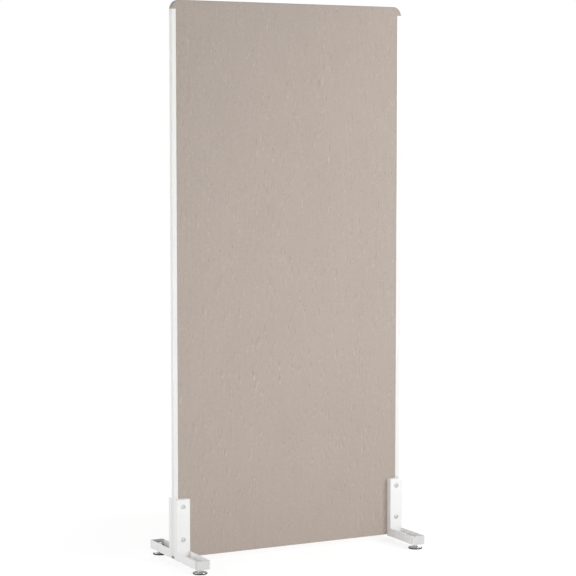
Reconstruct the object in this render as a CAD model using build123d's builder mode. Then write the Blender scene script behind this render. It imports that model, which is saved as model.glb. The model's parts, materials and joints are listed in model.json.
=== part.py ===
from build123d import *
import math
import os

# A free-standing privacy screen, in millimetres. X runs along its width, Y through its depth with the
# front at -Y, and Z up. The origin is on the floor, under the middle of the panel.

# Panel: a timber frame round a sound-absorbing core, wrapped in cloth
panel_width = 800.0
panel_height = 1700.0
panel_lift = 4.0
board_thickness = 16.0
skin_thickness = 1.2
corner_radius = 27.0
rail_height = 60.0
stile_width = 58.0
seam_gap = 0.2
dowel_radius = 4.0
dowel_length = 50.0
dowel_shares = (0.25, 0.75)

# Side profiles: a channel over each upright edge of the panel, flush with the cloth
lip_width = 14.0
profile_edge_radius = 0.7
end_cap_drop = 1.5
end_cap_rise = 5.5

# Foot brackets: an upright on each face of the panel with an open-topped beam at its foot
foot_depth = 350.0
bracket_width = 44.0
upright_depth = 22.0
upright_top = 205.0
beam_height = 27.0
sheet_thickness = 2.0
bend_radius = 1.6
cheek_gap = 0.6
pressure_plate_thickness = 3.0
top_cap_thickness = 2.0
top_cap_edge = 0.5

# Moulded cap that closes the outer end of a beam and rounds one of its corners
beam_cap_thickness = 3.0
beam_cap_corner = 8.0
beam_cap_return = 12.0
beam_cap_edge = 1.6
tongue_side_gap = 3.0
tongue_height = 8.0
tongue_depth = 9.0

# Clamping bolts, through both uprights and the panel
bolt_radius = 4.0
bolt_engagement = 6.0
bolt_top_inset = 22.0
bolt_pitch = 102.0
bolt_head_radius = 7.0
bolt_head_height = 4.4
bolt_head_round = 2.6
bolt_socket_flats = 5.0
bolt_socket_depth = 2.6
bolt_hole_radius = 4.25
sleeve_radius = 6.5
spacer_radius = 8.0
washer_radius = 8.0
washer_thickness = 1.6
nut_flats = 13.0
nut_height = 6.5
nut_dome_radius = 5.8
nut_dome_height = 4.5
nut_dome_round = 4.2
nut_bore_end_gap = 1.5
fit_clearance = 0.05

# Levelling feet, near the outer end of each beam
leveller_inset = 25.0
pad_radius = 22.0
pad_thickness = 2.0
pad_lip = 2.2
pad_edge = 0.5
disc_radius = 21.0
disc_rim_height = 2.6
disc_shoulder_radius = 18.5
disc_shoulder_height = 3.8
hub_radius = 6.5
hub_foot_radius = 7.5
hub_foot_height = 4.8
hub_height = 7.5
stud_radius = 3.95
stud_reach = 11.5
stud_tip_chamfer = 1.0
stud_floor_hole_radius = 4.6
stud_hex_height = 5.7
stud_hex_gap = 0.5
stud_hex_flats = 12.0
stud_flange_radius = 5.0
stud_flange_height = 2.4
running_clearance = 0.08
end_play = 0.1
stop_gap = 0.3

# Length by which a cut runs past what it cuts
overrun = 1.0

# The levelling feet carry the beams, and the beams' level sets the panel's
hub_top = pad_thickness + hub_height
hex_bottom = hub_top + stud_hex_gap
hex_top = hex_bottom + stud_hex_height
beam_bottom = hex_top + stop_gap
panel_bottom = beam_bottom + panel_lift

panel_face = board_thickness / 2 + skin_thickness
panel_top = panel_bottom + panel_height
shoulder = panel_top - corner_radius
half_width = panel_width / 2
cloth_half_width = half_width - lip_width - seam_gap
board_half_width = half_width - skin_thickness
board_bottom = panel_bottom + skin_thickness
board_top = panel_top - skin_thickness
board_corner = corner_radius - skin_thickness
stile_inside = board_half_width - stile_width
top_rail_bottom = board_top - rail_height
bottom_rail_top = board_bottom + rail_height
end_cap_bottom = panel_bottom - end_cap_drop
end_cap_top = panel_bottom + end_cap_rise

foot_x = half_width - bracket_width / 2
half_bracket = bracket_width / 2
half_channel = half_bracket - sheet_thickness
cheek_face = panel_face + cheek_gap
upright_front = panel_face + upright_depth
upright_inside = upright_front - sheet_thickness
plate_front = panel_face + pressure_plate_thickness
beam_end = foot_depth / 2
beam_inner_end = beam_end - beam_cap_thickness
beam_floor = beam_bottom + sheet_thickness
beam_top = beam_bottom + beam_height
leveller_y = leveller_inset - beam_end
bolt_heights = (upright_top - bolt_top_inset - bolt_pitch, upright_top - bolt_top_inset)
nut_seat = upright_front + washer_thickness
bolt_end = nut_seat + bolt_engagement
stud_top = beam_floor + nut_height + stud_reach
flange_bottom = pad_thickness + end_play
flange_top = flange_bottom + stud_flange_height
disc_bore_radius = stud_radius + running_clearance

half_turn = 180.0
sides = {"left": -1, "right": 1}
faces = {"front": 0.0, "rear": half_turn}
dowel_offsets = [stile_inside + share * stile_width for share in dowel_shares]
dowel_spots = [(sign * offset, 0) for sign in sides.values() for offset in dowel_offsets]
rail_dowel_spots = [(0, board_bottom + share * rail_height) for share in dowel_shares]
bolt_spots = [(0, z) for z in bolt_heights]
sleeve_spots = [(sign * foot_x, z) for sign in sides.values() for z in bolt_heights]

os.makedirs("parts", exist_ok=True)


def save(piece, name):
    """Names a finished piece and writes it as a node."""
    piece.part.label = name
    export_step(piece.part, f"parts/{name}.step")


def save_on_each_foot(piece, name):
    """Writes the piece once for the left foot and once for the right."""
    for side, sign in sides.items():
        with BuildPart() as placed:
            with Locations(Location((sign * foot_x, 0, 0))):
                add(piece.part)
        save(placed, f"{name}_{side}")


def save_on_each_bracket(piece, name):
    """Writes the piece at all four brackets, from its right front one. The left foot mirrors the
    right one, and a foot's rear bracket is its front one turned half round."""
    handed = {"left": mirror(piece.part, about=Plane.YZ), "right": piece.part}
    for face, turn in faces.items():
        for side, sign in sides.items():
            with BuildPart() as placed:
                with Locations(Location((sign * foot_x, 0, 0), (0, 0, turn))):
                    add(handed[side])
            save(placed, f"{name}_{face}_{side}")


def across(y):
    """Plane square to the depth at this y, looking to the front: local axes are X and Z."""
    return Plane.XZ.offset(-y)


def hexagon(flats):
    """Hexagon sketched at the current locations, measured across its flats."""
    return RegularPolygon(radius=flats / 2, side_count=6, major_radius=False)


# Cloth cover: front and back sheets in one piece with the wrap over the top, corners and lower edge
with BuildPart() as fabric_cover:
    with BuildSketch(Plane.XZ):
        with BuildLine():
            Polyline(
                (0, panel_bottom),
                (cloth_half_width, panel_bottom),
                (cloth_half_width, shoulder),
                (half_width, shoulder),
            )
            RadiusArc((half_width, shoulder), (half_width - corner_radius, panel_top), -corner_radius)
            Line((half_width - corner_radius, panel_top), (0, panel_top))
            mirror(about=Plane.YZ)
        make_face()
    extrude(amount=panel_face, both=True)
    with BuildSketch(Plane.XZ) as hollow:
        with Locations((0, board_bottom)):
            Rectangle(2 * board_half_width, board_top - board_bottom, align=(Align.CENTER, Align.MIN))
        fillet(hollow.vertices().group_by(Axis.Y)[-1], board_corner)
    extrude(amount=board_thickness / 2, both=True, mode=Mode.SUBTRACT)
    with BuildSketch(Plane.XZ):
        with Locations(*sleeve_spots):
            Circle(sleeve_radius + fit_clearance)
    extrude(amount=panel_face + overrun, both=True, mode=Mode.SUBTRACT)
save(fabric_cover, "fabric_cover")

# Top rail, across the whole panel, with the rounded corners that the cloth is drawn over
with BuildPart() as top_rail:
    with BuildSketch(Plane.XZ) as rail_shape:
        with Locations((0, top_rail_bottom)):
            Rectangle(2 * board_half_width, rail_height, align=(Align.CENTER, Align.MIN))
        fillet(rail_shape.vertices().group_by(Axis.Y)[-1], board_corner)
    extrude(amount=board_thickness / 2, both=True)
    with Locations(Plane.XY.offset(top_rail_bottom)):
        with Locations(*dowel_spots):
            Cylinder(
                dowel_radius + fit_clearance,
                dowel_length / 2 + end_play,
                align=(Align.CENTER, Align.CENTER, Align.MIN),
                mode=Mode.SUBTRACT,
            )
save(top_rail, "frame_top_rail")

# Bottom rail, between the stiles
with BuildPart() as bottom_rail:
    with Locations((0, 0, board_bottom)):
        Box(
            2 * stile_inside,
            board_thickness,
            rail_height,
            align=(Align.CENTER, Align.CENTER, Align.MIN),
        )
    for sign in sides.values():
        with BuildSketch(Plane.YZ.offset(sign * stile_inside)):
            with Locations(*rail_dowel_spots):
                Circle(dowel_radius + fit_clearance)
        extrude(amount=-sign * (dowel_length / 2 + end_play), mode=Mode.SUBTRACT)
save(bottom_rail, "frame_bottom_rail")

# Stiles, from the lower edge up to the top rail, drilled for the bolt sleeves and the dowels
for side, sign in sides.items():
    with BuildPart() as stile:
        with Locations((sign * (stile_inside + stile_width / 2), 0, board_bottom)):
            Box(
                stile_width,
                board_thickness,
                top_rail_bottom - board_bottom,
                align=(Align.CENTER, Align.CENTER, Align.MIN),
            )
        with BuildSketch(Plane.XZ):
            with Locations(*[(sign * foot_x, z) for z in bolt_heights]):
                Circle(sleeve_radius + fit_clearance)
        extrude(amount=board_thickness, both=True, mode=Mode.SUBTRACT)
        with BuildSketch(Plane.XY.offset(top_rail_bottom)):
            with Locations(*[(sign * offset, 0) for offset in dowel_offsets]):
                Circle(dowel_radius + fit_clearance)
        extrude(amount=-(dowel_length / 2 + end_play), mode=Mode.SUBTRACT)
        with BuildSketch(Plane.YZ.offset(sign * stile_inside)):
            with Locations(*rail_dowel_spots):
                Circle(dowel_radius + fit_clearance)
        extrude(amount=sign * (dowel_length / 2 + end_play), mode=Mode.SUBTRACT)
    save(stile, f"frame_stile_{side}")

# Dowels that pin the four frame corners
with BuildPart() as dowels:
    with Locations(Plane.XY.offset(top_rail_bottom)):
        with Locations(*dowel_spots):
            Cylinder(dowel_radius, dowel_length)
    for sign in sides.values():
        with BuildSketch(Plane.YZ.offset(sign * stile_inside)):
            with Locations(*rail_dowel_spots):
                Circle(dowel_radius)
        extrude(amount=dowel_length / 2, both=True)
save(dowels, "frame_dowels")

# Sound-absorbing core, filling the frame
with BuildPart() as core:
    with Locations((0, 0, bottom_rail_top)):
        Box(
            2 * stile_inside,
            board_thickness,
            top_rail_bottom - bottom_rail_top,
            align=(Align.CENTER, Align.CENTER, Align.MIN),
        )
save(core, "acoustic_core")

# Side profiles, each with a moulded shoe round the panel's lower corner
for side, sign in sides.items():
    with BuildPart() as profile:
        with BuildSketch(Plane.XY.offset(end_cap_top)) as section:
            with Locations((sign * (half_width - lip_width / 2), 0)):
                Rectangle(lip_width, 2 * panel_face)
            fillet(section.vertices().group_by(Axis.X)[0 if sign < 0 else -1], profile_edge_radius)
            with Locations((sign * (board_half_width - lip_width / 2), 0)):
                Rectangle(lip_width, board_thickness, mode=Mode.SUBTRACT)
        extrude(amount=shoulder - seam_gap - end_cap_top)
    save(profile, f"side_profile_{side}")
    with BuildPart() as end_cap:
        with Locations((sign * (half_width - lip_width / 2), 0, end_cap_bottom)):
            Box(
                lip_width,
                2 * panel_face,
                end_cap_top - end_cap_bottom,
                align=(Align.CENTER, Align.CENTER, Align.MIN),
            )
        fillet(
            end_cap.edges().filter_by(Axis.Z).group_by(Axis.X)[0 if sign < 0 else -1],
            profile_edge_radius,
        )
        with Locations((sign * (board_half_width - lip_width / 2), 0, board_bottom)):
            Box(
                lip_width,
                board_thickness,
                end_cap_top,
                align=(Align.CENTER, Align.CENTER, Align.MIN),
                mode=Mode.SUBTRACT,
            )
    save(end_cap, f"profile_end_cap_{side}")

# Steel sleeves that take the clamping load through the panel
with BuildPart() as sleeves:
    with BuildSketch(Plane.XZ):
        with Locations(*bolt_spots):
            Circle(sleeve_radius)
            Circle(bolt_hole_radius, mode=Mode.SUBTRACT)
    extrude(amount=panel_face, both=True)
save_on_each_foot(sleeves, "panel_sleeves")

# Cap on the beam's end: a face between the cheeks that turns the corner, and a tongue along the floor
with BuildPart() as cap_blank:
    with BuildSketch(Plane.XY.offset(beam_bottom)) as cap_plan:
        with Locations((-half_channel, -beam_end)):
            Rectangle(half_channel + half_bracket, beam_cap_return, align=(Align.MIN, Align.MIN))
        fillet(cap_plan.vertices().group_by(Axis.Y)[0].sort_by(Axis.X)[-1], beam_cap_corner)
    extrude(amount=beam_height)
    with BuildSketch(Plane.XY.offset(beam_bottom)) as cap_inside:
        with Locations((-half_channel, -beam_inner_end)):
            Rectangle(2 * half_channel, beam_cap_return, align=(Align.MIN, Align.MIN))
        fillet(
            cap_inside.vertices().group_by(Axis.Y)[0].sort_by(Axis.X)[-1],
            beam_cap_corner - beam_cap_thickness,
        )
    extrude(amount=beam_height, mode=Mode.SUBTRACT)
    with Locations((0, -beam_inner_end, beam_floor)):
        Box(
            2 * (half_channel - tongue_side_gap),
            tongue_depth,
            tongue_height,
            align=(Align.CENTER, Align.MIN, Align.MIN),
        )
with BuildPart() as beam_cap:
    add(cap_blank.part)
    outer_corner = beam_cap.faces().filter_by(GeomType.CYLINDER).sort_by(SortBy.AREA)[-1]
    fillet(outer_corner.edges().filter_by(GeomType.CIRCLE), beam_cap_edge)
save_on_each_bracket(beam_cap, "beam_end_cap")

# Foot bracket, folded from sheet: two L-shaped cheeks joined by the upright's web and the beam's floor
with BuildPart() as bracket:
    with BuildSketch(Plane.YZ):
        with BuildLine():
            Polyline(
                (-cheek_face, beam_bottom),
                (-beam_end, beam_bottom),
                (-beam_end, beam_top),
                (-upright_front, beam_top),
                (-upright_front, upright_top),
                (-cheek_face, upright_top),
                close=True,
            )
        make_face()
    extrude(amount=half_bracket, both=True)
    fillet(bracket.edges().filter_by(Axis.Z).group_by(Axis.Y)[1], bend_radius)
    fillet(bracket.faces().sort_by(Axis.Z)[0].edges().filter_by(Axis.Y), bend_radius)
    with Locations((0, -panel_face, beam_floor)):
        Box(
            2 * half_channel,
            upright_inside - panel_face,
            upright_top,
            align=(Align.CENTER, Align.MAX, Align.MIN),
            mode=Mode.SUBTRACT,
        )
    with Locations((0, -upright_front, beam_floor)):
        Box(
            2 * half_channel,
            beam_end,
            beam_height,
            align=(Align.CENTER, Align.MAX, Align.MIN),
            mode=Mode.SUBTRACT,
        )
    with Locations((-half_channel, -beam_inner_end, beam_bottom)):
        Box(
            bracket_width,
            beam_end,
            beam_height,
            align=(Align.MIN, Align.MAX, Align.MIN),
            mode=Mode.SUBTRACT,
        )
    with Locations((half_channel, beam_cap_return - beam_end, beam_bottom)):
        Box(
            sheet_thickness,
            beam_end,
            beam_height,
            align=(Align.MIN, Align.MAX, Align.MIN),
            mode=Mode.SUBTRACT,
        )
    add(cap_blank.part, mode=Mode.SUBTRACT)
    with BuildSketch(across(-upright_inside)):
        with Locations(*bolt_spots):
            Circle(bolt_hole_radius)
    extrude(amount=sheet_thickness + overrun, mode=Mode.SUBTRACT)
    with Locations((0, leveller_y, beam_bottom)):
        Cylinder(stud_floor_hole_radius, beam_height, mode=Mode.SUBTRACT)
save_on_each_bracket(bracket, "foot_bracket")

# Plate that closes the top of an upright
with BuildPart() as top_cap:
    with Locations((0, -cheek_face, upright_top)):
        Box(
            2 * half_channel,
            upright_inside - cheek_face,
            top_cap_thickness,
            align=(Align.CENTER, Align.MAX, Align.MAX),
        )
    chamfer(top_cap.faces().sort_by(Axis.Z)[-1].edges().filter_by(Axis.Y), top_cap_edge)
save_on_each_bracket(top_cap, "upright_top_cap")

# Plate between the cheeks that bears on the panel
with BuildPart() as pressure_plate:
    with BuildSketch(across(-panel_face)):
        with Locations((0, beam_floor)):
            Rectangle(
                2 * half_channel,
                upright_top - top_cap_thickness - beam_floor,
                align=(Align.CENTER, Align.MIN),
            )
        with Locations(*bolt_spots):
            Circle(bolt_hole_radius, mode=Mode.SUBTRACT)
    extrude(amount=pressure_plate_thickness)
save_on_each_bracket(pressure_plate, "pressure_plate")

# Spacer tubes round the bolts, from the pressure plate to the upright's web
with BuildPart() as spacers:
    with BuildSketch(across(-plate_front)):
        with Locations(*bolt_spots):
            Circle(spacer_radius)
            Circle(bolt_hole_radius, mode=Mode.SUBTRACT)
    extrude(amount=upright_inside - plate_front)
save_on_each_bracket(spacers, "bolt_spacers")

# Bolts: a button head with a hexagon socket on the front, a shank through the whole foot
with BuildPart() as bolts:
    with BuildSketch(across(-upright_front)):
        with Locations(*bolt_spots):
            Circle(bolt_head_radius)
    extrude(amount=bolt_head_height)
    fillet(bolts.faces().sort_by(Axis.Y)[:2].edges(), bolt_head_round)
    with BuildSketch(across(-upright_front - bolt_head_height)):
        with Locations(*bolt_spots):
            hexagon(bolt_socket_flats)
    extrude(amount=-bolt_socket_depth, mode=Mode.SUBTRACT)
    with BuildSketch(across(-upright_front)):
        with Locations(*bolt_spots):
            Circle(bolt_radius)
    extrude(amount=-(upright_front + bolt_end))
save_on_each_foot(bolts, "clamp_bolts")

# Washers under the nuts
with BuildPart() as washers:
    with BuildSketch(across(upright_front)):
        with Locations(*bolt_spots):
            Circle(washer_radius)
            Circle(bolt_hole_radius, mode=Mode.SUBTRACT)
    extrude(amount=-washer_thickness)
save_on_each_foot(washers, "clamp_washers")

# Domed nuts on the rear
with BuildPart() as nuts:
    with BuildSketch(across(nut_seat)):
        with Locations(*bolt_spots):
            hexagon(nut_flats)
    extrude(amount=-nut_height)
    with BuildSketch(across(nut_seat + nut_height)):
        with Locations(*bolt_spots):
            Circle(nut_dome_radius)
    extrude(amount=-nut_dome_height)
    fillet(nuts.faces().sort_by(Axis.Y)[-2:].edges(), nut_dome_round)
    with BuildSketch(across(nut_seat)):
        with Locations(*bolt_spots):
            Circle(bolt_radius + fit_clearance)
    extrude(amount=-(bolt_engagement + nut_bore_end_gap), mode=Mode.SUBTRACT)
save_on_each_foot(nuts, "dome_nuts")

# Threaded nut welded on the beam's floor for the levelling stud
with BuildPart() as weld_nut:
    with BuildSketch(Plane.XY.offset(beam_floor)):
        with Locations((0, leveller_y)):
            hexagon(nut_flats)
            Circle(stud_radius + running_clearance, mode=Mode.SUBTRACT)
    extrude(amount=nut_height)
save_on_each_bracket(weld_nut, "weld_nut")

# Levelling stud: thread, hexagon that stops under the beam, and a flange held captive in the disc
with BuildPart() as stud:
    with BuildSketch(Plane.XY.offset(flange_bottom)):
        with Locations((0, leveller_y)):
            Circle(stud_radius)
    extrude(amount=stud_top - flange_bottom)
    chamfer(stud.faces().sort_by(Axis.Z)[-1].edges(), stud_tip_chamfer)
    with BuildSketch(Plane.XY.offset(hex_bottom)):
        with Locations((0, leveller_y)):
            hexagon(stud_hex_flats)
    extrude(amount=stud_hex_height)
    with BuildSketch(Plane.XY.offset(flange_bottom)):
        with Locations((0, leveller_y)):
            Circle(stud_flange_radius)
    extrude(amount=stud_flange_height)
save_on_each_bracket(stud, "leveller_stud")

# Levelling disc: a pressed steel dish with a hub that turns on the stud's neck
with BuildPart() as disc:
    with BuildSketch(Plane.YZ):
        with BuildLine():
            Polyline(
                (leveller_y + disc_bore_radius, flange_top + end_play),
                (leveller_y + disc_bore_radius, hub_top),
                (leveller_y + hub_radius, hub_top),
                (leveller_y + hub_foot_radius, pad_thickness + hub_foot_height),
                (leveller_y + disc_shoulder_radius, pad_thickness + disc_shoulder_height),
                (leveller_y + disc_radius, pad_thickness + disc_rim_height),
                (leveller_y + disc_radius, pad_thickness),
                (leveller_y + stud_flange_radius + running_clearance, pad_thickness),
                (leveller_y + stud_flange_radius + running_clearance, flange_top + end_play),
                close=True,
            )
        make_face()
    revolve(axis=Axis((0, leveller_y, 0), (0, 0, 1)))
save_on_each_bracket(disc, "leveller_disc")

# Rubber pad bonded under the disc, with a lip round the disc's rim
with BuildPart() as pad:
    with Locations((0, leveller_y, 0)):
        Cylinder(pad_radius, pad_thickness + pad_lip, align=(Align.CENTER, Align.CENTER, Align.MIN))
    chamfer(pad.edges().filter_by(GeomType.CIRCLE), pad_edge)
    with Locations((0, leveller_y, pad_thickness)):
        Cylinder(
            disc_radius + fit_clearance,
            pad_thickness + pad_lip,
            align=(Align.CENTER, Align.CENTER, Align.MIN),
            mode=Mode.SUBTRACT,
        )
save_on_each_bracket(pad, "leveller_pad")
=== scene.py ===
import json
import math
import bmesh
import bpy
from mathutils import Matrix, Vector, geometry, noise


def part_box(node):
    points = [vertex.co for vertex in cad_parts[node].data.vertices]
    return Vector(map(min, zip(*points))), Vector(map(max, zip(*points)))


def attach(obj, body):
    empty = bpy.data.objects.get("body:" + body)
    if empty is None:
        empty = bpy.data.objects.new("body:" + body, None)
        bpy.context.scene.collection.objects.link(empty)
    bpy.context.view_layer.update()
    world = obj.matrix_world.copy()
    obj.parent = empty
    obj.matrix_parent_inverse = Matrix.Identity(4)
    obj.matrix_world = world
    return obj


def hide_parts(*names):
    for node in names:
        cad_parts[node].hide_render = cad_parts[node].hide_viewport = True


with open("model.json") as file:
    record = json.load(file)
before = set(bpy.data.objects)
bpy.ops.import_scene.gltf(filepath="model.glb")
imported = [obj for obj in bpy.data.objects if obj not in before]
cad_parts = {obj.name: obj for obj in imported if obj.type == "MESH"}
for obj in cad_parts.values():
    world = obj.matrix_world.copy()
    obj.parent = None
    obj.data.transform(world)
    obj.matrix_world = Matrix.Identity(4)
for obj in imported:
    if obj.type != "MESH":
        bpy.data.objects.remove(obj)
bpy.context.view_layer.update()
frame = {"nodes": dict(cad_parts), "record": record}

# A free-standing privacy screen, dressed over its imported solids. Its sizes are in millimetres until
# they reach a mesh or a shader, and the floor, lamps and camera are in metres.
MM = 0.001


def box_mm(node):
    """Lowest and highest corner of a solid, in millimetres."""
    return [[round(c / MM, 3) for c in corner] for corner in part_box(node)]


# Panel
(_, _, panel_bottom), (half_width, panel_face, panel_top) = box_mm("fabric_cover")
board_face = box_mm("frame_top_rail")[1][1]
lip_edge = box_mm("side_profile_right")[0][0]
seam_gap = 0.2
cloth_thickness = panel_face - board_face
cloth_half_width = lip_edge - seam_gap
corner_radius = 27.0
shoulder = panel_top - corner_radius
corner_centre = half_width - corner_radius

# Feet
(bracket_inside, _, _), (bracket_outside, _, upright_top) = box_mm("foot_bracket_rear_right")
(_, disc_near, disc_bottom), (_, disc_far, disc_top) = box_mm("leveller_disc_rear_right")
foot_x = (bracket_inside + bracket_outside) / 2
bracket_half_width = (bracket_outside - bracket_inside) / 2
disc_radius = (disc_far - disc_near) / 2
leveller_y = (disc_near + disc_far) / 2
feet = {
    "front_left": (-foot_x, -leveller_y),
    "front_right": (foot_x, -leveller_y),
    "rear_left": (-foot_x, leveller_y),
    "rear_right": (foot_x, leveller_y),
}
sides = {"left": -foot_x, "right": foot_x}
bolt_heights = (81.0, 183.0)
bolt_hole_radius = 6.55
thread_bore = 4.03


def clamped(value):
    """The value, held between nought and one."""
    return max(0.0, min(1.0, value))


def circle(x, y, radius, count):
    """Points round a circle."""
    turns = [2 * math.pi * i / count for i in range(count)]
    return [Vector((x + radius * math.cos(turn), y + radius * math.sin(turn))) for turn in turns]


def loop_edges(start, count):
    """Edges round a closed loop of points, from the number of its first point."""
    return [(start + i, start + (i + 1) % count) for i in range(count)]


def triangulated(points, edges, merge_reach):
    """Points, triangles and each point's sources for the area inside the outermost edges. Points that
    are closer together than merge_reach become one."""
    inside_edges = 1
    points, _, triangles, sources, _, _ = geometry.delaunay_2d_cdt(
        points, edges, [], inside_edges, merge_reach
    )
    return points, triangles, sources


def outside_holes(points, triangles, holes, radius):
    """The triangles whose middle lies outside all the round holes."""
    kept = []
    for triangle in triangles:
        middle = sum((points[p] for p in triangle), Vector((0, 0))) / 3
        if all(math.dist(middle, hole) > radius for hole in holes):
            kept.append(triangle)
    return kept


class Surface:
    """One material: a Principled shader and the nodes that feed it."""

    def __init__(self, name, roughness, metallic=0.0, specular=0.5):
        self.material = bpy.data.materials.new(name)
        self.material.use_nodes = True
        self.tree = self.material.node_tree
        self.shader = self.tree.nodes["Principled BSDF"]
        self.shader.inputs["Roughness"].default_value = roughness
        self.shader.inputs["Metallic"].default_value = metallic
        self.shader.inputs["Specular IOR Level"].default_value = specular
        self.place = self.tree.nodes.new("ShaderNodeTexCoord").outputs["Object"]

    def put(self, socket, value):
        """Links an output to a socket, or sets the socket to a value."""
        if isinstance(value, bpy.types.NodeSocket):
            self.tree.links.new(value, socket)
        elif socket.type == "RGBA":
            socket.default_value = (*value, 1.0)
        else:
            socket.default_value = value

    def node(self, kind, inputs, out=0, **settings):
        """Adds a node, fills its sockets with values or links, and gives one of its outputs."""
        made = self.tree.nodes.new(kind)
        for name, value in settings.items():
            setattr(made, name, value)
        for key, value in inputs.items():
            self.put(made.inputs[key], value)
        return made.outputs[out]

    def noise(self, size, stretch=(1, 1, 1), detail=3.0, roughness=0.55):
        """Noise with features of this size in millimetres, drawn out along each axis by stretch."""
        scale = [1 / (size * MM * s) for s in stretch]
        place = self.node("ShaderNodeMapping", {"Vector": self.place, "Scale": scale})
        inputs = {"Vector": place, "Scale": 1.0, "Detail": detail, "Roughness": roughness}
        return self.node("ShaderNodeTexNoise", inputs)

    def spread(self, value, low, high, to_low=0.0, to_high=1.0):
        """Carries a value from low..high over to to_low..to_high."""
        inputs = {"Value": value, "From Min": low, "From Max": high, "To Min": to_low, "To Max": to_high}
        return self.node("ShaderNodeMapRange", inputs)

    def math(self, operation, a, b):
        return self.node("ShaderNodeMath", {0: a, 1: b}, operation=operation)

    def blend(self, share, a, b, mode="MIX"):
        """Colour a turned into b by a share."""
        return self.node("ShaderNodeMix", {0: share, 6: a, 7: b}, 2, data_type="RGBA", blend_type=mode)

    def shade(self, colour, value, low, high):
        """Darkens and lightens a colour from low to high by a noise value."""
        grey = self.spread(value, 0.3, 0.7, low, high)
        level = self.node("ShaderNodeCombineColor", {0: grey, 1: grey, 2: grey})
        return self.blend(1.0, colour, level, "MULTIPLY")

    def bump(self, height, depth, normal=None):
        """Relief of this depth in millimetres."""
        inputs = {"Height": height, "Distance": depth * MM}
        if normal is not None:
            inputs["Normal"] = normal
        return self.node("ShaderNodeBump", inputs)

    def rounded(self, radius):
        """Normal that shades edges as if they had this radius in millimetres."""
        return self.node("ShaderNodeBevel", {"Radius": radius * MM}, samples=4)

    def seams(self, colour, reach, depth):
        """Painted shade: darkens a colour by up to depth in seams and corners narrower than reach in
        millimetres.
        """
        open_share = self.node("ShaderNodeAmbientOcclusion", {"Distance": reach * MM}, 1, samples=8)
        level = self.spread(open_share, 0.25, 0.75, 1.0 - depth, 1.0)
        grey = self.node("ShaderNodeCombineColor", {0: level, 1: level, 2: level})
        return self.blend(1.0, colour, grey, "MULTIPLY")

    def finish(self, colour, normal, roughness=None):
        """Feeds the shader and gives the material."""
        self.put(self.shader.inputs["Base Color"], colour)
        self.put(self.shader.inputs["Normal"], normal)
        if roughness is not None:
            self.put(self.shader.inputs["Roughness"], roughness)
        return self.material


def cloth():
    """Felted melange cloth: crossed fibres, light and dark slubs and flecks that the fibres break up,
    and a faint unevenness at three scales."""
    s = Surface("cloth", roughness=0.94, specular=0.12)
    s.shader.inputs["Sheen Weight"].default_value = 0.12
    s.shader.inputs["Sheen Roughness"].default_value = 0.45
    s.shader.inputs["Sheen Tint"].default_value = (0.95, 0.9, 0.85, 1.0)
    warp = s.noise(1.0, stretch=(1, 1, 7), detail=2.0)
    weft = s.noise(1.0, stretch=(6, 1, 1), detail=2.0)
    fibres = s.math("MULTIPLY", s.math("ADD", warp, weft), 0.5)
    flecks = s.noise(1.9, stretch=(1, 1, 1.8), roughness=0.7)
    light_slubs = s.spread(s.noise(3.6, stretch=(0.8, 1, 5.5), detail=1.0), 0.675, 0.755)
    dark_slubs = s.spread(s.noise(3.7, stretch=(0.8, 1, 5.5), detail=1.0), 0.665, 0.745)
    light_flecks = s.spread(s.noise(4.3, stretch=(1.5, 1, 1), detail=1.0), 0.71, 0.77)
    dark_flecks = s.spread(s.noise(4.0, detail=1.0), 0.71, 0.77)
    mottle = s.noise(9.0, stretch=(1, 1, 1.5), detail=4.0, roughness=0.6)
    streaks = s.noise(13.0, stretch=(0.6, 1, 7))
    clouds = s.noise(150.0, stretch=(1, 1, 1.7), detail=2.0)
    colour = s.blend(s.spread(flecks, 0.35, 0.65), (0.427, 0.367, 0.325), (0.451, 0.391, 0.349))
    broken = s.spread(fibres, 0.42, 0.58, 0.4, 1.0)
    for marks, tone in (
        (light_slubs, (0.575, 0.52, 0.477)),
        (dark_slubs, (0.335, 0.282, 0.247)),
        (light_flecks, (0.58, 0.53, 0.485)),
        (dark_flecks, (0.31, 0.258, 0.225)),
    ):
        colour = s.blend(s.math("MULTIPLY", marks, broken), colour, tone)
    colour = s.shade(colour, fibres, 0.93, 1.07)
    for unevenness in (mottle, streaks, clouds):
        colour = s.shade(colour, unevenness, 0.985, 1.015)
    pile = s.math("ADD", s.math("MULTIPLY", fibres, 0.6), s.math("MULTIPLY", flecks, 0.4))
    return s.finish(colour, s.bump(mottle, 0.06, s.bump(pile, 0.35)))


def coat(name, colour, gloss, peel, edge):
    """Baked powder coat: fine orange peel, slightly uneven gloss, faint scuffs, dust low down."""
    s = Surface(name, roughness=gloss, specular=0.45)
    ripple = s.noise(peel, detail=2.0)
    grain = s.noise(peel * 0.35, detail=1.0)
    drift = s.noise(60.0)
    scuffs = s.noise(5.0, stretch=(1, 1, 5), detail=5.0, roughness=0.7)
    colour = s.blend(s.spread(scuffs, 0.66, 0.8, 0.0, 0.35), colour, [c * 0.88 for c in colour])
    colour = s.shade(colour, drift, 0.99, 1.01)
    height = s.node("ShaderNodeSeparateXYZ", {0: s.place}, 2)
    low_down = s.spread(height, 0.06, 0.0, 0.0, 0.4)
    dust = s.math("MULTIPLY", low_down, s.spread(s.noise(7.0), 0.45, 0.7))
    colour = s.blend(dust, colour, (0.74, 0.73, 0.71))
    # Painted shade: the coat is darkened in its seams and corners, where shade falls.
    colour = s.seams(colour, 1.5, 0.4)
    relief = s.bump(ripple, 0.03, s.bump(grain, 0.01, s.rounded(edge)))
    return s.finish(colour, relief, s.spread(drift, 0.3, 0.7, gloss - 0.05, gloss + 0.05))


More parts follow.
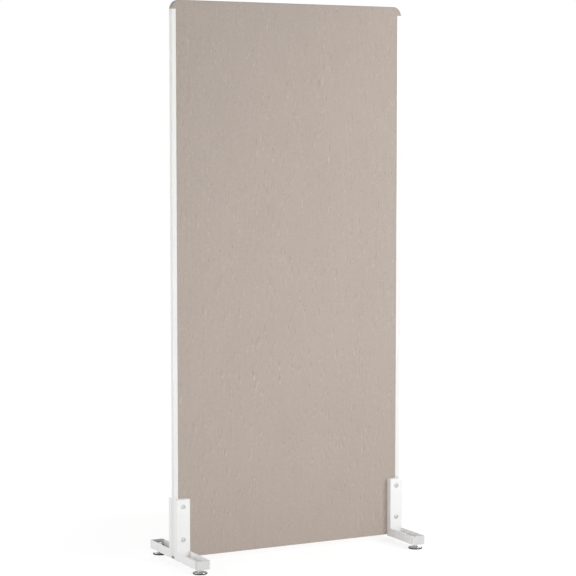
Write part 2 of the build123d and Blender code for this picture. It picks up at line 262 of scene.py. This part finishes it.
def moulded(name, colour, gloss):
    """Moulded plastic with a spark-eroded grain and a little drift in tone."""
    s = Surface(name, roughness=gloss)
    grain = s.noise(0.45, detail=2.0, roughness=0.6)
    colour = s.blend(s.spread(grain, 0.3, 0.7), [c * 0.96 for c in colour], colour)
    colour = s.shade(colour, s.noise(14.0), 0.985, 1.015)
    # Painted shade: the plastic is darkened in its seams and corners, where shade falls.
    colour = s.seams(colour, 2.0, 0.35)
    relief = s.bump(grain, 0.03, s.rounded(0.35))
    return s.finish(colour, relief, s.spread(grain, 0.3, 0.7, gloss - 0.06, gloss + 0.06))


def metal(name, colour, gloss, stretch, metallic=1.0):
    """Plated steel: faint tool marks along one way, spots and a slightly uneven plating tone. A dull
    plating is only part metallic."""
    s = Surface(name, roughness=gloss, metallic=metallic)
    marks = s.noise(0.35, stretch=stretch, detail=2.0)
    patches = s.noise(3.5, detail=4.0, roughness=0.65)
    colour = s.blend(s.spread(patches, 0.35, 0.65), [c * 0.9 for c in colour], colour)
    colour = s.shade(colour, marks, 0.96, 1.04)
    uneven = s.spread(patches, 0.3, 0.7, gloss - 0.07, gloss + 0.05)
    return s.finish(colour, s.bump(marks, 0.012, s.rounded(0.2)), uneven)


def rubber():
    """Black rubber with a dull bloom."""
    s = Surface("pad_rubber", roughness=0.8, specular=0.35)
    grain = s.noise(0.8, roughness=0.7)
    bloom = s.spread(s.noise(6.0, detail=4.0), 0.4, 0.75)
    colour = s.blend(bloom, (0.035, 0.035, 0.036), (0.085, 0.083, 0.08))
    return s.finish(s.shade(colour, grain, 0.85, 1.15), s.bump(grain, 0.06, s.rounded(0.3)))


def timber(name, pale, dark, stretch):
    """Planed timber with its grain drawn out along one way."""
    s = Surface(name, roughness=0.62, specular=0.35)
    rings = s.noise(7.0, stretch=stretch, detail=4.0, roughness=0.6)
    pores = s.noise(0.7, stretch=stretch, detail=2.0)
    colour = s.blend(s.spread(rings, 0.35, 0.65), pale, dark)
    return s.finish(s.shade(colour, pores, 0.92, 1.06), s.bump(pores, 0.08))


def fibre_core():
    """Pressed board of recycled fibre flecks."""
    s = Surface("core_felt", roughness=0.97, specular=0.1)
    flecks = s.noise(2.5, detail=4.0, roughness=0.75)
    colour = s.blend(s.spread(flecks, 0.35, 0.65), (0.36, 0.36, 0.35), (0.6, 0.6, 0.57))
    return s.finish(colour, s.bump(flecks, 0.5))


pale_grain, dark_grain = (0.66, 0.5, 0.32), (0.52, 0.36, 0.2)
pale_beech, dark_beech = (0.68, 0.53, 0.36), (0.56, 0.41, 0.26)
materials = {
    "cloth": cloth(),
    "core_felt": fibre_core(),
    "frame_timber": timber("frame_timber", pale_grain, dark_grain, stretch=(1, 1, 14)),
    "dowel_timber": timber("dowel_timber", pale_beech, dark_beech, stretch=(6, 1, 6)),
    "white_profile": coat("white_profile", (0.81, 0.805, 0.795), gloss=0.38, peel=0.9, edge=0.25),
    "white_coat": coat("white_coat", (0.86, 0.86, 0.855), gloss=0.42, peel=1.3, edge=0.45),
    "grey_plastic": moulded("grey_plastic", (0.66, 0.66, 0.66), gloss=0.48),
    # Dark plastic closes the lower ends of the side profiles, and is also made dark to stand in for the
    # shade in the gap under the panel: its darkness is partly painted shade.
    "dark_plastic": moulded("dark_plastic", (0.2, 0.2, 0.2), gloss=0.55),
    "bolt_steel": metal("bolt_steel", (0.66, 0.67, 0.67), gloss=0.68, stretch=(1, 8, 1), metallic=0.45),
    "zinc_steel": metal("zinc_steel", (0.8, 0.81, 0.82), gloss=0.34, stretch=(8, 8, 1)),
    "plated_steel": metal("plated_steel", (0.7, 0.71, 0.72), gloss=0.26, stretch=(8, 8, 1)),
    "pad_rubber": rubber(),
}


def piece_from(name, points, faces, body, slot, replaced, crisp):
    """Makes a closed piece from points in millimetres, keeps its edges sharp where they turn by more
    than crisp degrees, and puts it on its body in place of a solid."""
    same_place = 1e-7
    mesh = bpy.data.meshes.new(name)
    mesh.from_pydata([[c * MM for c in p] for p in points], [], faces)
    shell = bmesh.new()
    shell.from_mesh(mesh)
    bmesh.ops.remove_doubles(shell, verts=shell.verts, dist=same_place)
    bmesh.ops.dissolve_degenerate(shell, edges=shell.edges, dist=same_place)
    bmesh.ops.recalc_face_normals(shell, faces=shell.faces)
    shell.to_mesh(mesh)
    shell.free()
    mesh.shade_smooth()
    mesh.set_sharp_from_angle(angle=math.radians(crisp))
    mesh.materials.append(materials[slot])
    piece = bpy.data.objects.new(name, mesh)
    bpy.context.scene.collection.objects.link(piece)
    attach(piece, body)
    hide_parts(replaced)
    return piece


def walk(start, end, step):
    """Evenly spaced points from start towards end, without the end."""
    count = max(1, round(math.dist(start, end) / step))
    return [[s + (e - s) * i / count for s, e in zip(start, end)] for i in range(count)]


def cover_outline():
    """Outline of the cloth's face, anticlockwise from the middle of its lower edge, as x and z."""
    arc_steps, first_step = 40, 4
    turns = [math.pi / 2 * i / arc_steps for i in [0, *range(first_step, arc_steps)]]
    arc = [
        (corner_centre + corner_radius * math.cos(turn), shoulder + corner_radius * math.sin(turn))
        for turn in turns
    ]
    level_step, upright_step, lip_step = 8.0, 16.0, 4.7
    lower_corner = (cloth_half_width, panel_bottom)
    lip_corner = (cloth_half_width, shoulder)
    right = [
        *walk((0, panel_bottom), lower_corner, level_step),
        *walk(lower_corner, lip_corner, upright_step),
        *walk(lip_corner, (half_width, shoulder), lip_step),
        *arc,
        *walk((corner_centre, panel_top), (0, panel_top), level_step),
        (0, panel_top),
    ]
    return right + [(-x, z) for x, z in reversed(right[1:-1])]


def inward(outline):
    """At each point of an anticlockwise outline, the step inwards that leaves its sides parallel."""
    steps = []
    for i, here in enumerate(outline):
        before, after = Vector(outline[i - 1]), Vector(outline[(i + 1) % len(outline)])
        a = (Vector(here) - before).normalized()
        b = (after - Vector(here)).normalized()
        a, b = Vector((-a.y, a.x)), Vector((-b.y, b.x))
        steps.append((a + b) / (1 + a.dot(b)))
    return steps


def goes_over(x, z):
    """True where the cloth goes on over the panel's edge to its other face."""
    near = 0.1
    return z < panel_bottom + near or z > shoulder + near or abs(x) > half_width - near


def roll_radius(z):
    """Radius of the cloth's edge: small along the profiles and growing above the shoulder."""
    at_seam, at_top, growth = 1.0, 2.6, 8.0
    return at_seam + (at_top - at_seam) * clamped((z - shoulder) / growth)


def bracket_distance(x, z):
    """Distance from a point of the face to the nearest upright's outline, nought under it."""
    return math.hypot(max(abs(abs(x) - foot_x) - bracket_half_width, 0), max(z - upright_top, 0))


def waves(x, z, width, height, seed):
    """Noise over a face, with features of this width and height."""
    return noise.noise(Vector((x / width, z / height, seed)))


def swell(x, z):
    """Height of the cloth's face over its plane: it lies slightly uneven on the board, and rises a
    little beside the clamped uprights."""
    uneven, fade_reach = 0.22, 30
    rise, rise_reach = 0.45, 2.5
    edge = min(cloth_half_width - abs(x), z - panel_bottom, panel_top - z) / fade_reach
    distance = bracket_distance(x, z)
    fade = clamped(edge) * min(1.0, distance / fade_reach)
    drift = waves(x, z, 190, 260, seed=3.7) + 0.5 * waves(x, z, 70, 110, seed=9.1)
    lift = rise * distance / rise_reach * math.exp(1 - distance / rise_reach) if edge > 0 else 0.0
    return uneven * fade * drift + lift


def gather(x, z, y):
    """Depth of the small pleats where the cloth is drawn round a top corner."""
    count, deepest, wander = 7, 0.32, 1.3
    across, up = abs(x) - corner_centre, z - shoulder
    if across < 0 or up < 0:
        return 0.0
    turn = math.atan2(up, across) / (math.pi / 2)
    phase = turn * count * 2 * math.pi + wander * waves(x, z, 20, 9, seed=0)
    pleats = 0.5 - 0.5 * math.cos(phase)
    return deepest * pleats * math.sin(turn * math.pi) ** 2 * (1 - (y / panel_face) ** 2)


def flat_triangles(outline):
    """Triangles over the flat of a face, inside its outline and outside the bolt holes, on a grid of
    points and on lines along the uprights. Gives the points, the number that each had in the outline
    or None, and the triangles."""
    holes = [(side * foot_x, z) for side in (-1, 1) for z in bolt_heights]
    hole_points, hole_clear = 32, 4.0
    spots, edges = [], []
    for loop in [outline, *(circle(*hole, bolt_hole_radius, hole_points) for hole in holes)]:
        edges += loop_edges(len(spots), len(loop))
        spots += loop

    pitch, first_row = 16.0, 12.0
    edge_clear, bracket_clear = 9.0, 14.0
    columns, rows = int(half_width / pitch), int((panel_top - panel_bottom) / pitch)
    for across in range(-columns, columns + 1):
        for up in range(rows):
            x, z = across * pitch, panel_bottom + first_row + up * pitch
            beside = 0 < bracket_distance(x, z) < bracket_clear
            in_hole = any(math.dist((x, z), hole) < bolt_hole_radius + hole_clear for hole in holes)
            inside = abs(x) < cloth_half_width - edge_clear and z < panel_top - edge_clear
            if inside and not beside and not in_hole:
                spots.append(Vector((x, z)))

    line_step, line_clear = 5.0, 4.0
    for distance in (0.0, 1.2, 2.5, 4.5, 8.0):
        inner_x, top = foot_x - bracket_half_width - distance, upright_top + distance
        path = walk((inner_x, panel_bottom + line_clear), (inner_x, top), line_step)
        path += walk((inner_x, top), (cloth_half_width - line_clear, top), line_step)
        spots.extend(Vector((side * x, z)) for x, z in path for side in (-1, 1))

    points, triangles, sources = triangulated(spots, edges, merge_reach=1e-4)
    numbers = [source[0] if source and source[0] < len(outline) else None for source in sources]
    return points, numbers, outside_holes(points, triangles, holes, bolt_hole_radius)


class Cover:
    """The cloth as one skin: the points of its outer side, those of its inner side, which lies on the
    board, and the faces that both sides share. A flat strip on each side of a rolled edge, as wide as
    its support, keeps the edge's shading to itself."""

    edge_support = 0.2
    flat_support = 1.2
    roll_steps = 4

    def __init__(self):
        self.outline = cover_outline()
        self.inward = inward(self.outline)
        self.rolls = [roll_radius(z) for x, z in self.outline]
        self.outer, self.inner, self.faces = [], [], []

    def add(self, x, z, y, inner_x, inner_z):
        """Adds a point to each side and gives their number."""
        self.outer.append((x, y, z))
        self.inner.append((inner_x, max(-board_face, min(board_face, y)), inner_z))
        return len(self.outer) - 1

    def edge_point(self, i, depth, y):
        """Adds the point that lies this far inside the outline's point i."""
        (x, z), step = self.outline[i], self.inward[i]
        sunk = depth + gather(x, z, y)
        held = max(depth, cloth_thickness)
        return self.add(x + step.x * sunk, z + step.y * sunk, y, x + step.x * held, z + step.y * held)

    def edge_row(self, places):
        """Row of points round the outline, from the depth and y of each, or None where the row has no
        point."""
        return [None if at is None else self.edge_point(i, *at) for i, at in enumerate(places)]

    def face_rows(self, side):
        """Rows from the flat of one face, round its rolled edge, to the panel's edge."""
        rows = [self.edge_row([(roll + self.flat_support, side * panel_face) for roll in self.rolls])]
        for k in range(self.roll_steps + 1):
            turn = math.pi / 2 * k / self.roll_steps
            inside, behind = 1 - math.sin(turn), 1 - math.cos(turn)
            rolled = [(roll * inside, side * (panel_face - roll * behind)) for roll in self.rolls]
            rows.append(self.edge_row(rolled))
        on_edge = [(0.0, side * (panel_face - roll - self.edge_support)) for roll in self.rolls]
        return [*rows, self.edge_row(on_edge)]

    def wrap_row(self, share):
        """Row across the panel's edge, this share of the way out from its middle, where the cloth
        goes over."""
        places = []
        for (x, z), roll in zip(self.outline, self.rolls):
            y = share * (panel_face - roll - self.edge_support)
            places.append((0.0, y) if goes_over(x, z) else None)
        return self.edge_row(places)

    def join(self, rows):
        """Faces between neighbouring rows, where both have points."""
        count = len(self.outline)
        for row_a, row_b in zip(rows, rows[1:]):
            for i in range(count):
                j = (i + 1) % count
                face = (row_a[i], row_a[j], row_b[j], row_b[i])
                if None not in face:
                    self.faces.append(face)

    def fill(self, row, side, points, numbers, triangles):
        """Fills the flat of one face inside a row."""
        index = []
        for (x, z), number in zip(points, numbers):
            if number is None:
                index.append(self.add(x, z, side * (panel_face + swell(x, z)), x, z))
            else:
                index.append(row[number])
        self.faces.extend(tuple(index[p] for p in triangle) for triangle in triangles)

    def closed(self):
        """Points and faces of the cloth with both its sides, joined at its open edges."""
        uses = {}
        for face in self.faces:
            for a, b in zip(face, face[1:] + face[:1]):
                uses.setdefault(frozenset((a, b)), []).append((a, b))
        count = len(self.outer)
        open_edges = [pair[0] for pair in uses.values() if len(pair) == 1]
        inner_faces = [tuple(p + count for p in reversed(face)) for face in self.faces]
        edge_faces = [(b, a, a + count, b + count) for a, b in open_edges]
        return self.outer + self.inner, self.faces + inner_faces + edge_faces


def cloth_cover():
    """The cloth as one closed skin: both faces, the rolls into the seams, and the wraps over the top,
    the corners and the lower edge."""
    cover = Cover()
    front, rear = cover.face_rows(-1), cover.face_rows(1)
    cover.join(front)
    cover.join(rear)
    cover.join([front[-1], *(cover.wrap_row(share) for share in (-0.5, 0.0, 0.5)), rear[-1]])
    outline = [Vector((cover.outer[p][0], cover.outer[p][2])) for p in front[0]]
    flat = flat_triangles(outline)
    cover.fill(front[0], -1, *flat)
    cover.fill(rear[0], 1, *flat)
    piece = piece_from("cloth_cover", *cover.closed(), "screen", "cloth", "fabric_cover", crisp=50)


def column(stations, around=36, ring=False):
    """Points and faces of rings stacked along Z. A station is a height and a radius, which is a
    number or a function of the angle. A ring closes on itself, and anything else ends in caps."""
    points = []
    for z, radius in stations:
        for i in range(around):
            angle = 2 * math.pi * i / around
            r = radius(angle) if callable(radius) else radius
            points.append((r * math.cos(angle), r * math.sin(angle), z))
    count = len(stations)
    faces = []
    for k in range(count if ring else count - 1):
        low, high = k * around, (k + 1) % count * around
        for i in range(around):
            j = (i + 1) % around
            faces.append((low + i, low + j, high + j, high + i))
    if not ring:
        faces.append(tuple(reversed(range(around))))
        faces.append(tuple(range((count - 1) * around, count * around)))
    return points, faces


def moved(parts):
    """One set of points and faces from parts, each a shape and the matrix that places it."""
    points, faces = [], []
    for (part_points, part_faces), place in parts:
        start = len(points)
        points.extend((place @ Vector(p))[:] for p in part_points)
        faces.extend(tuple(p + start for p in face) for face in part_faces)
    return points, faces


def at_each_foot(name, replaced, body, slot, parts, crisp):
    """Makes the parts of one levelling foot at all four corners. A name with {} takes the corner."""
    for corner, (x, y) in feet.items():
        foot = Matrix.Translation((x, y, 0))
        points, faces = moved([(shape, foot @ place) for shape, place in parts])
        names = [text.format(corner) for text in (name, body, replaced)]
        piece_from(names[0], points, faces, names[1], slot, names[2], crisp)


def hexagon(flats, limit):
    """Radius of a hexagon by angle, cut down to a limit as its chamfer does."""
    sector = math.pi / 3
    return lambda angle: min(flats / 2 / math.cos(angle % sector - sector / 2), limit)


def hexagon_stations(bottom, top, flats):
    """Stations of a hexagon with both its ends chamfered at 30 degrees."""
    steps, end_share = 5, 0.985
    reach = flats / 2 / math.cos(math.pi / 6)
    inside = flats / 2 * end_share
    rise = (reach - inside) * math.tan(math.pi / 6)
    shares = [k / steps for k in range(steps + 1)]
    grown = [(share * rise, hexagon(flats, inside + share * (reach - inside))) for share in shares]
    return [(bottom + z, r) for z, r in grown] + [(top - z, r) for z, r in reversed(grown)]


def threaded_stations(bottom, top, major):
    """Stations of a right-hand M8 thread that runs out at both ends and is chamfered at its tip."""
    pitch, depth, per_turn = 1.25, 0.7, 8
    crest, flank, chamfer = 0.08, 0.3, 1.0
    count = round((top - bottom) / pitch * per_turn)

    def radius(z):
        run_out = clamped(min(z - bottom, top - z) / pitch)
        tip = major + min(0.0, top - z - chamfer)

        def at(angle):
            phase = (z / pitch - angle / (2 * math.pi)) % 1.0
            cut = clamped((abs(phase - 0.5) - crest) / flank)
            return min(major - depth * cut * run_out, tip)

        return at

    heights = [bottom + (top - bottom) * k / count for k in range(count + 1)]
    return [(z, radius(z)) for z in heights]


def leveller_studs():
    """Threaded studs with a chamfered hexagon, a neck and the flange that the disc holds."""
    (_, near, bottom), (_, far, top) = box_mm("leveller_stud_rear_right")
    radius, neck_radius, neck_gap = 3.95, 3.9, 0.1
    flange_radius, flange_top = 5.0, 4.5
    flange_lead, chamfer = 0.3, 0.2
    hexagon_bottom, hexagon_top = 10.0, 15.7
    thread_bottom, thread_root = 16.2, 3.5
    stations = [
        (bottom, flange_radius - flange_lead),
        (bottom + chamfer, flange_radius),
        (flange_top - chamfer, flange_radius),
        (flange_top, flange_radius - chamfer),
        (flange_top, radius),
        (hexagon_bottom - neck_gap, radius),
        *hexagon_stations(hexagon_bottom, hexagon_top, far - near),
        (hexagon_top, neck_radius),
        (thread_bottom, thread_root),
        *threaded_stations(thread_bottom, top, radius),
    ]
    parts = [(column(stations), Matrix())]
    at_each_foot("threaded_stud_{}", "leveller_stud_{}", "stud_{}", "zinc_steel", parts, crisp=35)


def leveller_discs():
    """Pressed dishes with a rolled rim and a drawn hub, whose socket holds the stud's flange."""
    socket_radius, socket_top, mouth_radius = 5.08, 4.6, 5.3
    chamfer, lead = 0.3, 0.2
    bore = [(socket_top, thread_bore), (disc_top - chamfer, thread_bore), (disc_top, 4.3)]
    hub = [(disc_top, 6.1), (9.25, 6.45), (8.8, 6.6), (7.5, 6.8), (7.0, 7.3), (6.7, 8.3)]
    dish = [(6.45, 10.0), (6.2, 13.0), (5.85, 16.5), (5.55, 18.5)]
    rim = [(5.2, 19.6), (4.8, 20.4), (4.3, 20.85), (3.8, disc_radius)]
    underside = [
        (disc_bottom + chamfer, disc_radius),
        (disc_bottom, disc_radius - chamfer),
        (disc_bottom, mouth_radius),
    ]
    socket = [(disc_bottom + lead, socket_radius), (socket_top, socket_radius)]
    stations = bore + hub + dish + rim + underside + socket
    parts = [(column(stations, around=72, ring=True), Matrix())]
    at_each_foot("pressed_disc_{}", "leveller_disc_{}", "foot_{}", "plated_steel", parts, crisp=40)


def weld_beads(flats, bottom):
    """Three short rippled weld beads along a nut's flats, as shapes with their places."""
    half_length, radius, steps, around = 3.2, 1.1, 16, 12
    ripple, ripples, thinnest = 0.08, 14, 0.02
    off_flat, off_floor = 0.4, 0.2
    stations = []
    for k in range(steps + 1):
        share = 2 * k / steps - 1
        round_end = math.sqrt(max(thinnest, 1 - share**2))
        width = round_end * (1 + ripple * math.cos(ripples * share))
        stations.append((half_length * share, radius * width))
    bead = column(stations, around)
    middle = Matrix.Translation((0, flats / 2 + off_flat, bottom + off_floor))
    beside_flat = middle @ Matrix.Rotation(math.pi / 2, 4, "Y")
    turns = [Matrix.Rotation(math.radians(turn), 4, "Z") for turn in (0, 120, 240)]
    return [(bead, turn @ beside_flat) for turn in turns]


def weld_nuts():
    """Chamfered nuts on the beam floors, with their weld beads."""
    (_, near, bottom), (_, far, top) = box_mm("weld_nut_rear_right")
    flats = far - near
    mouth_radius, mouth_depth = 4.6, 0.4
    bore = [
        (top, mouth_radius),
        (top - mouth_depth, thread_bore),
        (bottom + mouth_depth, thread_bore),
        (bottom, mouth_radius),
    ]
    nut = column(hexagon_stations(bottom, top, flats) + bore, ring=True)
    parts = [(nut, Matrix()), *weld_beads(flats, bottom)]
    at_each_foot("chamfered_nut_{}", "weld_nut_{}", "screen", "white_coat", parts, crisp=35)


def dome_nuts():
    """Domed nuts with a chamfered hexagon, a collar under the dome and a blind bore."""
    (_, seat, _), (_, tip, _) = box_mm("dome_nuts_right")
    flats, height = 13.0, 6.5
    bore_radius, bore_depth = 4.05, 7.5
    bore_middle = (bore_depth - 0.1, 0.2)
    collar_radius, collar_height, collar_slope = 5.95, 0.4, 0.1
    dome_radius, dome_rise, dome_steps, dome_end = 5.8, 4.0, 7, 0.15
    dome_foot = tip - seat - dome_rise
    stations = [
        bore_middle,
        (bore_depth, bore_radius),
        (0.0, bore_radius),
        *hexagon_stations(0.0, height, flats),
        (height, collar_radius),
        (height + collar_height, collar_radius - collar_slope),
        (dome_foot, dome_radius),
    ]
    for k in range(1, dome_steps + 1):
        turn = math.pi / 2 * k / dome_steps
        radius = max(dome_end, dome_radius * math.cos(turn))
        stations.append((dome_foot + dome_rise * math.sin(turn), radius))
    nut = column(stations)
    to_rear = Matrix.Rotation(-math.pi / 2, 4, "X")
    for side, x in sides.items():
        places = [Matrix.Translation((x, seat, z)) @ to_rear for z in bolt_heights]
        points, faces = moved([(nut, place) for place in places])
        replaced = f"dome_nuts_{side}"
        piece_from(f"capped_nuts_{side}", points, faces, "screen", "bolt_steel", replaced, crisp=35)


def seen_rays(tree):
    """One for rays from the eye and from reflections and glass, and nought for other light."""
    rays = tree.nodes.new("ShaderNodeLightPath").outputs
    seen = rays["Is Camera Ray"]
    for kind in ("Is Glossy Ray", "Is Transmission Ray"):
        either = tree.nodes.new("ShaderNodeMath")
        either.operation = "MAXIMUM"
        tree.links.new(seen, either.inputs[0])
        tree.links.new(rays[kind], either.inputs[1])
        seen = either.outputs[0]
    return seen


def floor_paint():
    """To the eye and to reflections the floor is part paint, which keeps the object's shadow, and part
    its own white, which makes up for the lamps' falloff away from the object. To other light it is
    plain white paint."""
    s = Surface("floor", roughness=1.0)
    paint = s.node("ShaderNodeBsdfDiffuse", {"Color": (0.85, 0.85, 0.85)})
    seen_paint = s.node("ShaderNodeBsdfDiffuse", {"Color": (0.3, 0.3, 0.3)})
    away = s.node("ShaderNodeVectorMath", {0: s.place}, 1, operation="LENGTH")
    near, far, near_white, far_white = 0.7, 2.2, 0.79, 0.9
    strength = s.spread(away, near, far, near_white, far_white)
    white = s.node("ShaderNodeEmission", {"Color": (1.0, 1.0, 1.0), "Strength": strength})
    even = s.node("ShaderNodeAddShader", {0: seen_paint, 1: white})
    end = s.node("ShaderNodeMixShader", {0: seen_rays(s.tree), 1: paint, 2: even})
    s.tree.links.new(end, s.tree.nodes["Material Output"].inputs["Surface"])
    return s.material


def ground(name, points, faces, material):
    """A level piece of the floor just under the pads, from points in metres."""
    under_pads = -0.0003
    mesh = bpy.data.meshes.new(name)
    mesh.from_pydata([(x, y, under_pads) for x, y in points], [], faces)
    mesh.materials.append(material)
    piece = bpy.data.objects.new(name, mesh)
    bpy.context.scene.collection.objects.link(piece)
    return piece


def floor():
    """Wide white floor. The round of floor under each levelling foot goes with that foot, so a foot
    that is screwed out is still seen to stand on it."""
    material = floor_paint()
    half, radius, rim_points = 30.0, 0.12, 64
    points = [Vector(p) for p in ((-half, -half), (half, -half), (half, half), (-half, half))]
    edges = loop_edges(0, len(points))
    centres = [Vector((x * MM, y * MM)) for x, y in feet.values()]
    for corner, centre in zip(feet, centres):
        rim = circle(*centre, radius, rim_points)
        disc = ground(f"floor_round_{corner}", rim, [tuple(range(rim_points))], material)
        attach(disc, f"foot_{corner}")
        edges += loop_edges(len(points), rim_points)
        points += rim
    points, triangles, _ = triangulated(points, edges, merge_reach=1e-6)
    ground("floor", points, outside_holes(points, triangles, centres, radius), material)


def surroundings(ambient):
    """Even white all round to the eye and to reflections, at this strength as light."""
    world = bpy.data.worlds.new("surroundings")
    world.use_nodes = True
    bpy.context.scene.world = world
    nodes, links = world.node_tree.nodes, world.node_tree.links
    level = nodes.new("ShaderNodeMapRange")
    level.inputs["To Min"].default_value = ambient
    level.inputs["To Max"].default_value = 1.0
    links.new(seen_rays(world.node_tree), level.inputs["Value"])
    background = nodes["Background"]
    background.inputs["Color"].default_value = (1.0, 1.0, 1.0, 1.0)
    links.new(level.outputs[0], background.inputs["Strength"])


def lamp(name, place, target, size, watts):
    """Rectangular soft lamp that points at a target."""
    data = bpy.data.lights.new(name, "AREA")
    data.shape = "RECTANGLE"
    data.size, data.size_y = size
    data.energy = watts
    made = bpy.data.objects.new(name, data)
    made.location = place
    made.rotation_euler = (Vector(target) - Vector(place)).to_track_quat("-Z", "Y").to_euler()
    bpy.context.scene.collection.objects.link(made)


def camera(place, turn, tilt, lens):
    """Camera without shift, turned from +Y and tilted down by degrees, on a 36 mm sensor."""
    made = bpy.data.objects.new("camera", bpy.data.cameras.new("camera"))
    made.location = place
    made.rotation_euler = (math.radians(90.0 - tilt), 0.0, math.radians(turn))
    made.data.lens = lens
    made.data.sensor_width = 36.0
    made.data.clip_end = 100.0
    bpy.context.scene.collection.objects.link(made)
    return made


slot_of = {part["node"]: part["material_slot"] for part in frame["record"]["subparts"]}
for name, solid in frame["nodes"].items():
    solid.data.materials.clear()
    solid.data.materials.append(materials[slot_of[name]])

cloth_cover()
leveller_studs()
leveller_discs()
weld_nuts()
dome_nuts()

floor()
surroundings(ambient=0.36)
lamp("key", (1.55, -2.15, 1.8), target=(0.25, 0.0, 0.85), size=(1.2, 1.2), watts=40)
lamp("low", (-0.6, -2.5, 0.45), target=(-0.1, 0.0, 0.2), size=(1.4, 0.6), watts=18.5)
lamp("fill", (-3.0, 0.4, 1.3), target=(0.0, 0.0, 0.9), size=(1.2, 1.4), watts=26.5)
lamp("low_fill", (-3.2, 0.0, 0.45), target=(0.0, 0.0, 0.4), size=(1.2, 0.8), watts=7.5)
lamp("rear", (1.6, 2.9, 1.5), target=(0.0, 0.0, 0.8), size=(1.6, 1.4), watts=42)

# The photograph's view, fitted to the panel's and the brackets' edges
photo_camera = camera((-2.73276, -5.24975, 1.33285), turn=-27.484, tilt=4.7908, lens=118.4362)
bpy.context.scene.camera = photo_camera
bpy.context.scene.view_settings.view_transform = "Standard"
